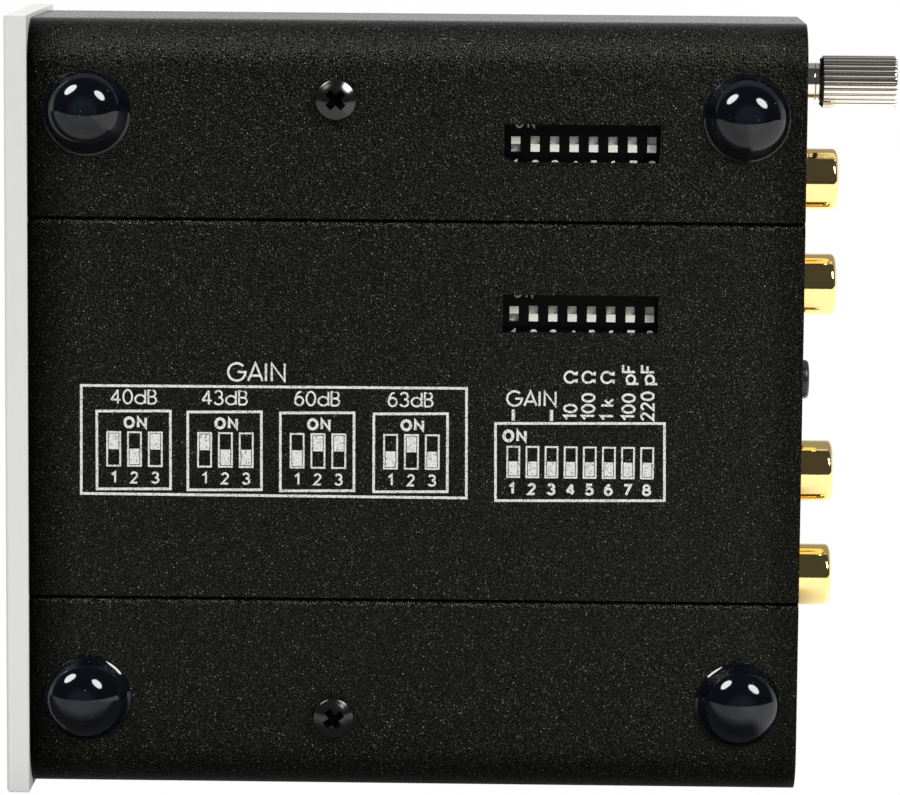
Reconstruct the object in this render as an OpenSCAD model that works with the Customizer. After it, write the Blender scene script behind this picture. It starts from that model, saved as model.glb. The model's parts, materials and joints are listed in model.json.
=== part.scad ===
// Phono preamp in a folded steel case with an aluminium front panel.
// Millimetres. The front faces -Y, +X is the right-hand side seen from the front and +Z is up.
// The origin is on the surface that the feet stand on, under the middle of the whole depth.

/* [Case] */
// Width of the folded cover
cover_w = 101.9; // [98:0.1:120]
// Height of the folded cover
cover_h = 32; // [30:1:40]
// Depth of the folded cover, from the back of the front panel
cover_d = 101.6; // [98:0.1:120]
// Thickness of the folded steel sheet
sheet_t = 1; // [0.8:0.1:1.2]
// Outer radius of the cover's four long folds
bend_r = 6; // [4:0.5:6.5]
// Width of each flange that the cover turns in under the case
flange_w = 25.7; // [23:0.1:26.5]
// Gap along each seam between a flange and the tray's floor
seam_gap = 0.3; // [0.2:0.1:0.6]
// Gap between the cover and the tray's side floors that it laps
lap_gap = 0.1; // [0.05:0.05:0.3]
// Gap all round between the cover and the upright walls inside it
wall_gap = 0.4; // [0.3:0.1:0.8]
// Distance that the rear panel stands inside the cover's rear edge
rear_recess = 4; // [3:0.5:4.5]

/* [Front panel] */
// Thickness of the front panel
panel_t = 3; // [3:0.5:5]
// Distance that the front panel stands out past the cover on every side
panel_lip = 0.55; // [0:0.05:2]
// Chamfer round the face of the front panel
panel_chamfer = 0.3; // [0.1:0.1:0.8]
// Distance of the panel screws from the cover's sides
panel_screw_side_inset = 9; // [8:0.5:12]
// Distance of the panel screws from the cover's top and underside
panel_screw_end_inset = 8; // [7:0.5:9]
// Depth of the tapped holes in the back of the front panel
panel_tap_depth = 2.3; // [1.5:0.1:2.6]

/* [Feet] */
// Diameter of a foot
foot_d = 11.8; // [9:0.1:13]
// Height of a foot
foot_h = 4; // [3:0.5:6]
// Thickness of the rim round a foot's dome
foot_rim_h = 1; // [0.3:0.1:1.2]
// Width of the step from the rim to the dome
foot_rim_step = 0.9; // [0.1:0.1:1.2]
// Diameter of the flat on which a foot stands
foot_flat_d = 2.4; // [1.5:0.1:4]
// Distance from a foot's centre to the side of the cover
foot_side_inset = 12.15; // [11.5:0.05:14]
// Distance from a foot's centre to the end of the cover
foot_end_inset = 7.85; // [7:0.05:12]

/* [Cover screws] */
// Distance from a cover screw to the side of the cover
cover_screw_side_inset = 10.1; // [9:0.1:12]
// Distance from a cover screw to the back of the front panel
cover_screw_setback = 40.3; // [30:0.1:48]

/* [M3 screws] */
// Diameter of a pan head
head_d = 5.4; // [5:0.1:6]
// Height of a pan head
head_h = 1.9; // [1.5:0.1:2.2]
// Radius at the edge of a pan head
head_edge_r = 0.8; // [0.3:0.1:1.2]
// Diameter of a threaded shank, and of the hole that it is driven into
shank_d = 2.9; // [2.5:0.1:3]
// Diameter of the hole that a screw passes through
clearance_d = 3.4; // [3.2:0.1:3.8]
// Length of a cover screw's shank
cover_screw_l = 5.4; // [4:0.1:6]
// Length of the cross recess across a head
recess_l = 3; // [2:0.1:3.4]
// Width of the cross recess
recess_w = 0.7; // [0.5:0.1:1]
// Depth of the cross recess
recess_depth = 1.2; // [0.6:0.1:1.4]

/* [DIP switches] */
// Number of sliders on each switch
dip_count = 8; // [8]
// Spacing of the sliders
dip_pitch = 2.54; // [2.54]
// Width of a switch body across its sliders' travel
dip_body_w = 9.8; // [9:0.1:10.4]
// Length that a switch body adds past its end sliders' centres
dip_body_end = 2.1; // [1.6:0.1:2.6]
// Height of a switch body below the circuit board
dip_body_h = 4.6; // [4:0.1:6]
// Gap between a switch's face and the tray's side floor
dip_face_gap = 0.2; // [0.1:0.1:1]
// Distance of the inner window to the right of the case's middle
inner_window_x = 13.05; // [10:0.05:15]
// Distance of the outer window from the right-hand side of the cover
outer_window_side_inset = 15.6; // [15.5:0.1:17.5]
// Distance of both windows from the cover's rear edge
window_setback = 29.2; // [27:0.1:34]
// Width of a switch window
dip_window_w = 4.95; // [4.8:0.05:6]
// Length of a switch window
dip_window_l = 20.3; // [19.6:0.1:22]
// Distance of a switch to the left of its window's middle
dip_shift_x = 0.25; // [0:0.05:0.5]
// Distance of a switch to the rear of its window's middle
dip_shift_y = 0.2; // [0:0.05:0.5]
// Extra size of the hidden window in the tray, on each side
hidden_window_margin = 0.8; // [0.3:0.1:1.2]
// Length of a slider's slot
slot_l = 2.08; // [1.9:0.02:2.4]
// Width of a slider's slot
slot_w = 1.3; // [1.1:0.05:1.6]
// Thickness of the switch's lid, which the slots go through
dip_lid_t = 0.6; // [0.4:0.1:1]
// Travel of a slider
slider_travel = 1; // [0.8:0.1:1.1]
// Height that a slider's knob stands out of the lid
knob_proud = 0.3; // [0:0.1:0.4]
// Thickness of a slider's base under the lid
slider_base_t = 0.8; // [0.5:0.1:1.2]
// Running gap round a slider
slider_gap = 0.04; // [0.02:0.01:0.08]

/* [Circuit board] */
// Thickness of the circuit board
board_t = 1.6; // [1.2:0.1:2]
// Gap between the board's edges and the cover's sides
board_side_gap = 2; // [2:0.5:4]
// Gap between the board's front edge and the tray's front wall
board_front_gap = 4; // [3:0.5:8]
// Distance from the board's side edge to its screws
board_screw_side_inset = 5; // [4.5:0.5:7]
// Distance from the board's front edge to the front screws
board_screw_front_inset = 6; // [5:0.5:12]
// Distance from the switch bodies to the rear screws
board_screw_switch_gap = 4.5; // [3.5:0.5:6]
// Width across the flats of a standoff
standoff_af = 5.5; // [5:0.5:6]
// Length of a board screw's shank
board_screw_l = 5; // [4:0.5:6]

/* [Connector row] */
// Height of the connectors' axes above the circuit board
jack_axis_h = 6.5; // [6:0.1:8]
// Distance from the ground terminal to the right-hand side of the cover
ground_side_inset = 8.1; // [7:0.1:9]
// Distance of the button from the input pair's middle
button_offset = 19.85; // [18.5:0.05:20]
// Distance of the output pair's middle from the button
output_offset = 19.45; // [18.5:0.05:20]
// Distance of the power inlet to the left-hand side of the cover
inlet_side_inset = 8; // [8:0.1:9]
// Share of the row's free width that lies beside the ground terminal; the rest is beside the power inlet
ground_free_share = 0.283; // [0.2:0.001:0.8]

/* [Phono sockets] */
// Spacing of the two sockets of a pair
jack_pitch = 14.1; // [13:0.1:14.5]
// Outer diameter of a socket's shell
jack_d = 8.3; // [8.3]
// Length of the shell outside the rear panel
jack_l = 8.95; // [8:0.05:10]
// Wall thickness of the shell
jack_wall = 0.75; // [0.5:0.05:1]
// Radius round the shell's lip
jack_lip_r = 0.6; // [0.2:0.05:0.7]
// Extra radius of the shell's collar in the rear panel
jack_collar = 0.25; // [0.15:0.05:0.5]
// Distance that the insulator stands back from the lip
insulator_recess = 1; // [0.5:0.1:2]
// Diameter of the bore in the centre contact
contact_bore_d = 3.3; // [3.3]
// Wall thickness of the centre contact
contact_wall = 0.7; // [0.6:0.05:0.9]
// Length of the centre contact's close bore
contact_bore_l = 7.7; // [6.5:0.1:7.7]
// Diameter of the relieved bore behind the close one
contact_relief_d = 4; // [3.9:0.05:4.2]
// Length of the relieved bore
contact_relief_l = 6; // [4:0.5:6]
// Width of a dual socket block beyond its sockets' centres
block_side = 5.2; // [5:0.1:6]
// Depth of a dual socket block
block_d = 10; // [8:0.5:13]
// Height of a dual socket block
block_h = 15; // [14.5:0.5:17]
// Length of the screw driven into a dual socket block
block_screw_l = 7; // [5:0.5:8]
// Height of that screw above the sockets' axes
block_screw_lift = 5.2; // [4.8:0.1:6]

/* [Ground terminal] */
// Diameter of the threaded stud
stud_d = 4; // [3:0.5:4]
// Diameter of the collar outside the rear panel
collar_d = 5; // [5:0.1:6]
// Distance that the clamp washer's outer face stands past the cover
collar_reach = 2.35; // [1:0.05:4]
// Thickness of the clamp washer
clamp_washer_t = 0.6; // [0.4:0.1:1]
// Diameter of the knurled thumb nut over its ridges
knob_d = 7; // [6.5:0.05:8]
// Length of the knurled thumb nut
knob_l = 10.3; // [8:0.05:12]
// Number of ridges round the thumb nut
knurl_count = 28; // [16:1:40]
// Depth of the knurl
knurl_depth = 0.25; // [0.1:0.05:0.4]
// Chamfer at both ends of the thumb nut
knob_chamfer = 0.5; // [0.2:0.1:0.8]
// Thickness of the thumb nut's closed end
knob_end_t = 1; // [0.6:0.1:2]
// Play of the stud in the thumb nut's bore, all round
stud_gap = 0.05; // [0.02:0.01:0.09]
// Width across the flats of the nut inside the case
hex_nut_af = 7; // [6:0.5:7]
// Thickness of the nut inside the case
hex_nut_t = 3.2; // [2.5:0.1:4]
// Length of the stud past the nut inside the case
stud_tail = 1.2; // [0.5:0.1:3]

/* [Filter button] */
// Diameter of the button
button_d = 5.2; // [4.5:0.1:6]
// Distance that the button stands out past the cover
button_reach = 1.65; // [0.5:0.05:3]
// Travel of the button
button_travel = 2; // [1:0.1:2.5]
// Gap round the button in the rear panel
button_gap = 0.3; // [0.2:0.1:0.5]
// Radius round the button's face
button_edge_r = 0.5; // [0.2:0.1:0.8]
// Distance from the rear panel to the push switch
switch_setback = 6; // [5:0.5:8]
// Width of the push switch
switch_w = 8.5; // [7:0.5:9]
// Depth of the push switch
switch_d = 14; // [12:0.5:18]
// Height of the push switch
switch_h = 9.5; // [8.5:0.5:11]
// Diameter of the push switch's plunger
plunger_d = 3; // [2.5:0.1:3.5]
// Length of plunger inside the push switch when the button is out
plunger_engaged = 4; // [3:0.5:6]
// Running gap round the plunger
plunger_gap = 0.06; // [0.02:0.01:0.09]

/* [Power inlet] */
// Diameter of the inlet's socket
inlet_bore_d = 5.8; // [5.6:0.1:6.5]
// Depth of the inlet's socket
inlet_bore_l = 9; // [8:0.5:10]
// Diameter of the inlet's centre pin
inlet_pin_d = 2.1; // [2.1]
// Diameter of the inlet's nose in the rear panel
inlet_nose_d = 7.8; // [7.2:0.1:8.4]
// Width of the inlet's body
inlet_w = 9; // [8.5:0.5:10]
// Depth of the inlet's body
inlet_d = 13; // [11:0.5:15]
// Height of the inlet's body
inlet_h = 11; // [10.5:0.5:12]
// Gap round the shells and the nose in the rear panel's holes
hole_gap = 0.2; // [0.1:0.1:0.4]

/* [Power light] */
// Diameter of the light
led_d = 3; // [2:0.5:3]
// Length of the light's body
led_l = 6; // [5:0.5:8]
// Gap round the light in the front panel
led_gap = 0.1; // [0.05:0.05:0.3]
// Height of the light's flange beyond its hole
led_flange_step = 0.3; // [0.2:0.1:0.5]
// Diameter of the light's two wires
led_wire_d = 0.5; // [0.4:0.1:0.6]
// Spacing of the two wires
led_wire_pitch = 2.54; // [2.54]
// Distance from the board's front edge to where the wires enter the board
led_wire_inset = 2; // [1.5:0.5:3]

/* [Board components] */
// Distance from the board's front edge to the row of large capacitors
first_row_inset = 20; // [16:0.5:22]
// Distance from the row of small capacitors to the push switch
last_row_gap = 5; // [4:0.5:8]
// Diameter of a large electrolytic capacitor
cap_d = 10; // [8:0.5:12]
// Height of a large electrolytic capacitor
cap_h = 16; // [10:0.5:17]
// Spacing of the electrolytic capacitors in a row
cap_pitch = 15; // [13:0.5:18]
// Diameter of a small electrolytic capacitor
small_cap_d = 5; // [4:0.5:6]
// Height of a small electrolytic capacitor
small_cap_h = 8; // [6:0.5:11]
// Length, width and height of a film capacitor
film_cap_l = 7.2; // [5:0.1:8]
film_cap_w = 3.5; // [2.5:0.1:5]
film_cap_h = 7; // [5:0.1:9]
// Spacing of the film capacitors
film_cap_pitch = 11; // [9:0.5:12]
// Length, width and height of an op-amp's body
op_amp_l = 9.6; // [9:0.1:10]
op_amp_w = 6.4; // [6:0.1:6.8]
op_amp_h = 3.4; // [3:0.1:4]
// Height of an op-amp's body above the board
op_amp_lift = 0.8; // [0.5:0.1:1]
// Spacing of the op-amps
op_amp_pitch = 22; // [16:0.5:26]
// Spacing of the legs of an op-amp or a voltage regulator
leg_pitch = 2.54; // [2.54]
// Width of a voltage regulator
regulator_w = 10; // [9:0.5:10.5]
// Height of a voltage regulator's body
regulator_h = 9; // [8:0.5:10]
// Thickness of a voltage regulator's body
regulator_t = 4.4; // [4:0.1:4.8]
// Height of a voltage regulator's legs above the board
regulator_leg_h = 3; // [2:0.5:4]
// Height of a voltage regulator's metal tab above its body
regulator_tab_h = 5; // [3:0.5:6]
// Distance from the voltage regulators to the board's left edge
regulator_side_inset = 9; // [6:0.5:10]
// Distance from the first voltage regulator to the board's front edge
regulator_front_inset = 26; // [20:0.5:28]
// Spacing of the voltage regulators
regulator_pitch = 14; // [8:0.5:16]

/* [Hidden] */
$fn = 64;
// Amount by which a cut runs past the face that it opens
cut = 0.5;

// Depths, from the front to the rear
total_d = panel_t + cover_d + collar_reach + knob_l;
panel_front_y = -total_d / 2;
panel_back_y = panel_front_y + panel_t;
front_wall_y = panel_back_y + sheet_t;
rear_edge_y = panel_back_y + cover_d;
rear_face_y = rear_edge_y - rear_recess;
rear_inner_y = rear_face_y - sheet_t;
window_y = rear_edge_y - window_setback;
dip_y = window_y + dip_shift_y;
board_front_y = front_wall_y + board_front_gap;
board_rear_gap = 0.5;
board_rear_y = rear_inner_y - board_rear_gap;
cover_screw_y = panel_back_y + cover_screw_setback;

// Heights, from the feet up
cover_z = foot_h;
cover_mid_z = cover_z + cover_h / 2;
cover_top_z = cover_z + cover_h;
floor_top_z = cover_z + sheet_t;
side_floor_z = floor_top_z + lap_gap;
side_floor_top_z = side_floor_z + sheet_t;
dip_face_z = side_floor_top_z + dip_face_gap;
board_z = dip_face_z + dip_body_h;
board_top_z = board_z + board_t;
jack_z = board_top_z + jack_axis_h;
block_screw_z = jack_z + block_screw_lift;

// Widths, from the middle out
flange_edge_x = cover_w / 2 - flange_w;
strip_edge_x = flange_edge_x - seam_gap;
side_floor_edge_x = cover_w / 2 - bend_r;
board_edge_x = cover_w / 2 - sheet_t - board_side_gap;
cover_screw_x = cover_w / 2 - cover_screw_side_inset;
outer_window_x = cover_w / 2 - outer_window_side_inset;
inner_dip_x = inner_window_x - dip_shift_x;
outer_dip_x = outer_window_x - dip_shift_x;

// Connector row: the width that its pieces leave free is shared out beside both ends of the middle group
ground_x = cover_w / 2 - ground_side_inset;
inlet_x = -cover_w / 2 + inlet_side_inset;
hex_nut_r = hex_nut_af / 2 / cos(30);
block_w = jack_pitch + 2 * block_side;
row_free_w = ground_x - hex_nut_r - inlet_x - inlet_w / 2 - button_offset - output_offset - block_w;
input_x = ground_x - hex_nut_r - ground_free_share * row_free_w - block_w / 2;
button_x = input_x - button_offset;
output_x = button_x - output_offset;
input_right_x = input_x + jack_pitch / 2;
input_left_x = input_x - jack_pitch / 2;
output_right_x = output_x + jack_pitch / 2;
output_left_x = output_x - jack_pitch / 2;

// Ends of what stands out of the rear panel
jack_tip_y = rear_face_y + jack_l;
jack_root = 4;
washer_y = rear_edge_y + collar_reach - clamp_washer_t;
knob_y = rear_edge_y + collar_reach;

// Greys, metals and plastics
black_powder = [0.07, 0.07, 0.07];
satin_aluminium = [0.85, 0.85, 0.84];
black_plastic = [0.04, 0.04, 0.04];
dark_rubber = [0.03, 0.04, 0.06];
nickel = [0.75, 0.74, 0.7];
gold = [0.88, 0.7, 0.32];
zinc = [0.6, 0.6, 0.62];
white_plastic = [0.92, 0.92, 0.9];
red_plastic = [0.7, 0.08, 0.06];
board_green = [0.08, 0.3, 0.15];

// Shared shapes

// Extrudes an outline drawn in X and Z along Y, from y0 to y1
module along_y(y0, y1) {
  translate([0, y1, 0]) rotate([90, 0, 0]) linear_extrude(y1 - y0) children();
}

// Round bar along Y
module rod_y(x, z, y0, y1, d) {
  translate([x, y0, z]) rotate([-90, 0, 0]) cylinder(d = d, h = y1 - y0);
}

// Round bar along Z
module rod_z(x, y, z0, z1, d) {
  translate([x, y, z0]) cylinder(d = d, h = z1 - z0);
}

// Box from its middle in X and Y and its two heights
module box_at(x, y, z0, z1, w, d) {
  translate([x - w / 2, y - d / 2, z0]) cube([w, d, z1 - z0]);
}

// Rectangle with round corners, about the origin
module round_rect(w, h, r) {
  square([w - 2 * r, h], center = true);
  square([w, h - 2 * r], center = true);
  for (sx = [-1, 1], sy = [-1, 1]) translate([sx * (w / 2 - r), sy * (h / 2 - r)]) circle(r);
}

// Cross-section of the case, drawn in by an inset
module case_outline(inset) {
  translate([0, cover_mid_z]) round_rect(cover_w - 2 * inset, cover_h - 2 * inset, bend_r - inset);
}

// Cross-section of an upright wall inside the cover, standing on z0
module wall_outline(z0) {
  intersection() {
    case_outline(sheet_t + wall_gap);
    translate([-cover_w / 2, z0]) square([cover_w, cover_top_z - z0]);
  }
}

// Pan head screw along -Z: the head's seat is at the origin and the head points up
module pan_screw(length) {
  edge = head_d / 2 - head_edge_r;
  difference() {
    union() {
      rotate_extrude() intersection() {
        union() {
          square([edge, head_h]);
          square([head_d / 2, head_h - head_edge_r]);
          translate([edge, head_h - head_edge_r]) circle(head_edge_r);
        }
        square([head_d / 2, head_h]);
      }
      translate([0, 0, -length]) cylinder(d = shank_d, h = length + head_h / 2);
    }
    for (turn = [0, 90]) rotate([0, 0, turn]) translate([-recess_l / 2, -recess_w / 2, head_h - recess_depth])
      cube([recess_l, recess_w, recess_depth + cut]);
  }
}

// Casing

module front_panel() {
  w = cover_w + 2 * panel_lip;
  h = cover_h + 2 * panel_lip;
  z0 = cover_z - panel_lip;
  color(satin_aluminium) difference() {
    intersection() {
      translate([0, 0, z0]) linear_extrude(h) polygon([
        [-w / 2, panel_back_y], [-w / 2, panel_front_y + panel_chamfer],
        [-w / 2 + panel_chamfer, panel_front_y], [w / 2 - panel_chamfer, panel_front_y],
        [w / 2, panel_front_y + panel_chamfer], [w / 2, panel_back_y]
      ]);
      translate([-w / 2, 0, 0]) rotate([90, 0, 90]) linear_extrude(w) polygon([
        [panel_back_y, z0], [panel_front_y + panel_chamfer, z0],
        [panel_front_y, z0 + panel_chamfer], [panel_front_y, z0 + h - panel_chamfer],
        [panel_front_y + panel_chamfer, z0 + h], [panel_back_y, z0 + h]
      ]);
    }
    rod_y(0, cover_mid_z, panel_front_y - cut, panel_back_y + cut, led_d + 2 * led_gap);
    at_panel_screws() rod_y(0, 0, panel_back_y - panel_tap_depth, panel_back_y + cut, shank_d);
  }
}

module at_panel_screws() {
  for (sx = [-1, 1], sz = [-1, 1])
    translate([
      sx * (cover_w / 2 - panel_screw_side_inset), 0,
      cover_mid_z + sz * (cover_h / 2 - panel_screw_end_inset)
    ]) children();
}

module top_cover() {
  color(black_powder) difference() {
    along_y(panel_back_y, rear_edge_y) difference() {
      case_outline(0);
      case_outline(sheet_t);
      translate([-flange_edge_x, cover_z - cut]) square([2 * flange_edge_x, sheet_t + 2 * cut]);
    }
    box_at(outer_window_x, window_y, cover_z - cut, floor_top_z + cut, dip_window_w, dip_window_l);
    for (side = [-1, 1])
      rod_z(side * cover_screw_x, cover_screw_y, cover_z - cut, floor_top_z + cut, clearance_d);
  }
}

// Floor, joggled up at both sides to lie on the cover's flanges, with its front turned up as a wall
module base_tray() {
  window_w = dip_window_w + 2 * hidden_window_margin;
  window_l = dip_window_l + 2 * hidden_window_margin;
  web_x = strip_edge_x - sheet_t;
  color(black_powder) difference() {
    union() {
      along_y(panel_back_y, rear_edge_y)
        translate([-strip_edge_x, cover_z]) square([2 * strip_edge_x, sheet_t]);
      for (side = [0, 1]) mirror([side, 0, 0]) along_y(panel_back_y, rear_edge_y) {
        translate([web_x, cover_z]) square([sheet_t, side_floor_top_z - cover_z]);
        translate([web_x, side_floor_z]) square([side_floor_edge_x - web_x, sheet_t]);
      }
      along_y(panel_back_y, front_wall_y) wall_outline(side_floor_z);
    }
    box_at(inner_window_x, window_y, cover_z - cut, floor_top_z + cut, dip_window_w, dip_window_l);
    box_at(outer_window_x, window_y, side_floor_z - cut, side_floor_top_z + cut, window_w, window_l);
    for (side = [-1, 1])
      rod_z(side * cover_screw_x, cover_screw_y, side_floor_z - cut, side_floor_top_z + cut, shank_d);
    rod_y(0, cover_mid_z, panel_back_y - cut, front_wall_y + cut, led_d + 2 * led_gap);
    at_panel_screws() rod_y(0, 0, panel_back_y - cut, front_wall_y + cut, clearance_d);
  }
}

module rear_panel() {
  tongue_x = strip_edge_x - sheet_t - wall_gap;
  color(black_powder) difference() {
    along_y(rear_inner_y, rear_face_y) union() {
      wall_outline(side_floor_top_z);
      translate([-tongue_x, floor_top_z]) square([2 * tongue_x, side_floor_top_z + sheet_t - floor_top_z]);
    }
    for (x = [input_x, output_x]) {
      for (side = [-1, 1])
        panel_hole(x + side * jack_pitch / 2, jack_z, jack_d + 2 * jack_collar + 2 * hole_gap);
      panel_hole(x, block_screw_z, clearance_d);
    }
    panel_hole(button_x, jack_z, button_d + 2 * button_gap);
    panel_hole(inlet_x, jack_z, inlet_nose_d + 2 * hole_gap);
    panel_hole(ground_x, jack_z, stud_d);
  }
}

module panel_hole(x, z, d) {
  rod_y(x, z, rear_inner_y - cut, rear_face_y + cut, d);
}

// Domed foot with a rim: it hangs from the origin and stands on its small flat
module foot() {
  dome_r = foot_d / 2 - foot_rim_step;
  flat_r = foot_flat_d / 2;
  dome_h = foot_h - foot_rim_h;
  // Sphere through the dome's edge and the edge of its flat
  drop = (dome_r * dome_r - flat_r * flat_r - dome_h * dome_h) / (2 * dome_h);
  ball_r = sqrt(dome_r * dome_r + drop * drop);
  color(dark_rubber) rotate([180, 0, 0]) {
    cylinder(d = foot_d, h = foot_rim_h);
    translate([0, 0, foot_rim_h]) rotate_extrude() intersection() {
      translate([0, -drop]) circle(ball_r);
      square([dome_r + cut, dome_h]);
    }
  }
}

module place_foot(side, end) {
  y = end < 0 ? panel_back_y + foot_end_inset : rear_edge_y - foot_end_inset;
  translate([side * (cover_w / 2 - foot_side_inset), y, cover_z]) foot();
}

// Screws and standoffs

module cover_screws() {
  color(nickel) for (side = [-1, 1])
    translate([side * cover_screw_x, cover_screw_y, cover_z]) rotate([180, 0, 0]) pan_screw(cover_screw_l);
}

module panel_screws() {
  color(zinc) at_panel_screws() translate([0, front_wall_y, 0]) rotate([-90, 0, 0])
    pan_screw(sheet_t + panel_tap_depth);
}

module socket_screws() {
  color(zinc) for (x = [input_x, output_x])
    translate([x, rear_face_y, block_screw_z]) rotate([-90, 0, 0]) pan_screw(block_screw_l);
}

module at_board_screws() {
  front_y = board_front_y + board_screw_front_inset;
  rear_y = dip_y - dip_body_l / 2 - board_screw_switch_gap;
  for (side = [-1, 1], y = [front_y, rear_y])
    translate([side * (board_edge_x - board_screw_side_inset), y, 0]) children();
}

module board_standoffs() {
  color(zinc) at_board_screws() difference() {
    translate([0, 0, side_floor_top_z])
      cylinder(d = standoff_af / cos(30), h = board_z - side_floor_top_z, $fn = 6);
    translate([0, 0, side_floor_top_z - cut]) cylinder(d = shank_d, h = board_z - side_floor_top_z + 2 * cut);
  }
}

module board_screws() {
  color(zinc) at_board_screws() translate([0, 0, board_top_z]) pan_screw(board_screw_l);
}

// Circuit board and what it carries

module circuit_board() {
  color(board_green) difference() {
    translate([-board_edge_x, board_front_y, board_z])
      cube([2 * board_edge_x, board_rear_y - board_front_y, board_t]);
    at_board_screws() translate([0, 0, board_z - cut]) cylinder(d = clearance_d, h = board_t + 2 * cut);
  }
}

function slider_y(i) = dip_y + (i - (dip_count + 1) / 2) * dip_pitch;
dip_body_l = (dip_count - 1) * dip_pitch + 2 * dip_body_end;
knob_l_x = slot_l - slider_travel - 2 * slider_gap;
base_l_x = slot_l + slider_travel;
channel_l = base_l_x + slider_travel + 2 * slider_gap;
channel_z = dip_face_z + dip_lid_t;

// Switch body hanging under the board, with a slot and a hidden channel for each slider
module dip_switch(x) {
  lead_w = 0.6;
  lead_t = 0.25;
  lead_reach = 1.2;
  lead_h = 1.6;
  color(black_plastic) difference() {
    box_at(x, dip_y, dip_face_z, board_z, dip_body_w, dip_body_l);
    for (i = [1 : dip_count]) {
      box_at(x, slider_y(i), dip_face_z - cut, channel_z + cut, slot_l, slot_w);
      box_at(x, slider_y(i), channel_z, channel_z + slider_base_t + 2 * slider_gap, channel_l, slot_w);
    }
  }
  color(nickel) for (i = [1 : dip_count], side = [0, 1])
    translate([x, slider_y(i) + lead_w / 2, 0]) mirror([side, 0, 0]) rotate([90, 0, 0]) linear_extrude(lead_w)
      translate([dip_body_w / 2, 0]) polygon([
        [0, board_z - lead_h], [lead_t, board_z - lead_h], [lead_t, board_z - lead_t],
        [lead_reach, board_z - lead_t], [lead_reach, board_z], [0, board_z]
      ]);
}

// Slider i of the switch at x: on stands towards +X, off towards -X
module slider(x, i, on) {
  centre = x + (on ? 1 : -1) * slider_travel / 2;
  width = slot_w - 2 * slider_gap;
  base_z = channel_z + slider_gap;
  color(white_plastic) {
    box_at(centre, slider_y(i), dip_face_z - knob_proud, base_z + slider_base_t, knob_l_x, width);
    box_at(centre, slider_y(i), base_z, base_z + slider_base_t, base_l_x, width);
  }
}

module socket_block(x) {
  color(black_plastic) difference() {
    box_at(x, rear_inner_y - block_d / 2, board_top_z, board_top_z + block_h, block_w, block_d);
    for (side = [-1, 1]) {
      jx = x + side * jack_pitch / 2;
      rod_y(jx, jack_z, rear_inner_y - jack_root, rear_inner_y + cut, jack_d + 2 * jack_collar);
      rod_y(jx, jack_z, contact_root_y, rear_inner_y, contact_outer_d);
    }
    rod_y(x, block_screw_z, rear_face_y - block_screw_l, rear_inner_y + cut, shank_d);
  }
}

contact_outer_d = contact_bore_d + 2 * contact_wall;
contact_mouth_y = jack_tip_y - insulator_recess;
contact_relief_y = contact_mouth_y - contact_bore_l;
contact_root_y = contact_relief_y - contact_relief_l - contact_wall;
shell_bore_d = jack_d - 2 * jack_wall;

module jack_shell(x) {
  straight = jack_l - jack_lip_r;
  root = sheet_t + jack_root;
  color(gold) translate([x, rear_face_y, jack_z]) rotate([-90, 0, 0]) difference() {
    union() {
      translate([0, 0, -root]) cylinder(d = jack_d + 2 * jack_collar, h = root);
      cylinder(d = jack_d, h = straight);
      rotate_extrude() {
        translate([jack_d / 2 - jack_lip_r, straight]) circle(jack_lip_r);
        translate([0, straight - cut]) square([jack_d / 2 - jack_lip_r, cut + jack_lip_r]);
      }
    }
    translate([0, 0, -root - cut]) cylinder(d = shell_bore_d, h = jack_l + root + 2 * cut);
  }
}

module jack_insulator(x, tint) {
  color(tint) difference() {
    rod_y(x, jack_z, rear_inner_y - jack_root, contact_mouth_y, shell_bore_d);
    rod_y(x, jack_z, rear_inner_y - jack_root - cut, contact_mouth_y + cut, contact_outer_d);
  }
}

// Two contacts, each a tube closed at its root and relieved behind its close bore
module contacts(x) {
  color(gold) for (side = [-1, 1]) translate([x + side * jack_pitch / 2, 0, 0]) difference() {
    rod_y(0, jack_z, contact_root_y, contact_mouth_y, contact_outer_d);
    rod_y(0, jack_z, contact_relief_y - cut, contact_mouth_y + cut, contact_bore_d);
    rod_y(0, jack_z, contact_relief_y - contact_relief_l, contact_relief_y, contact_relief_d);
  }
}

module power_inlet() {
  color(black_plastic) difference() {
    union() {
      box_at(inlet_x, rear_inner_y - inlet_d / 2, board_top_z, board_top_z + inlet_h, inlet_w, inlet_d);
      rod_y(inlet_x, jack_z, rear_inner_y - cut, rear_face_y, inlet_nose_d);
    }
    rod_y(inlet_x, jack_z, rear_face_y - inlet_bore_l, rear_face_y + cut, inlet_bore_d);
  }
}

module power_inlet_pin() {
  tip_setback = 0.8;
  color(nickel) rod_y(inlet_x, jack_z, rear_face_y - inlet_bore_l, rear_face_y - tip_setback, inlet_pin_d);
}

switch_y = rear_inner_y - switch_setback;

module filter_switch() {
  bore_l = plunger_engaged + button_travel + cut;
  color(black_plastic) difference() {
    box_at(button_x, switch_y - switch_d / 2, board_top_z, board_top_z + switch_h, switch_w, switch_d);
    rod_y(button_x, jack_z, switch_y - bore_l, switch_y + cut, plunger_d + 2 * plunger_gap);
  }
}

// Button cap on its plunger
module filter_button() {
  cap_back_y = switch_y + button_travel + cut;
  cap_l = rear_edge_y + button_reach - cap_back_y;
  color(black_plastic) {
    translate([button_x, cap_back_y, jack_z]) rotate([-90, 0, 0]) {
      cylinder(d = button_d, h = cap_l - button_edge_r);
      rotate_extrude() intersection() {
        union() {
          translate([button_d / 2 - button_edge_r, cap_l - button_edge_r]) circle(button_edge_r);
          translate([0, cap_l - 2 * button_edge_r]) square([button_d / 2 - button_edge_r, 2 * button_edge_r]);
        }
        square([button_d / 2, cap_l]);
      }
    }
    rod_y(button_x, jack_z, switch_y - plunger_engaged, cap_back_y + cut, plunger_d);
  }
}

// Ground terminal

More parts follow.
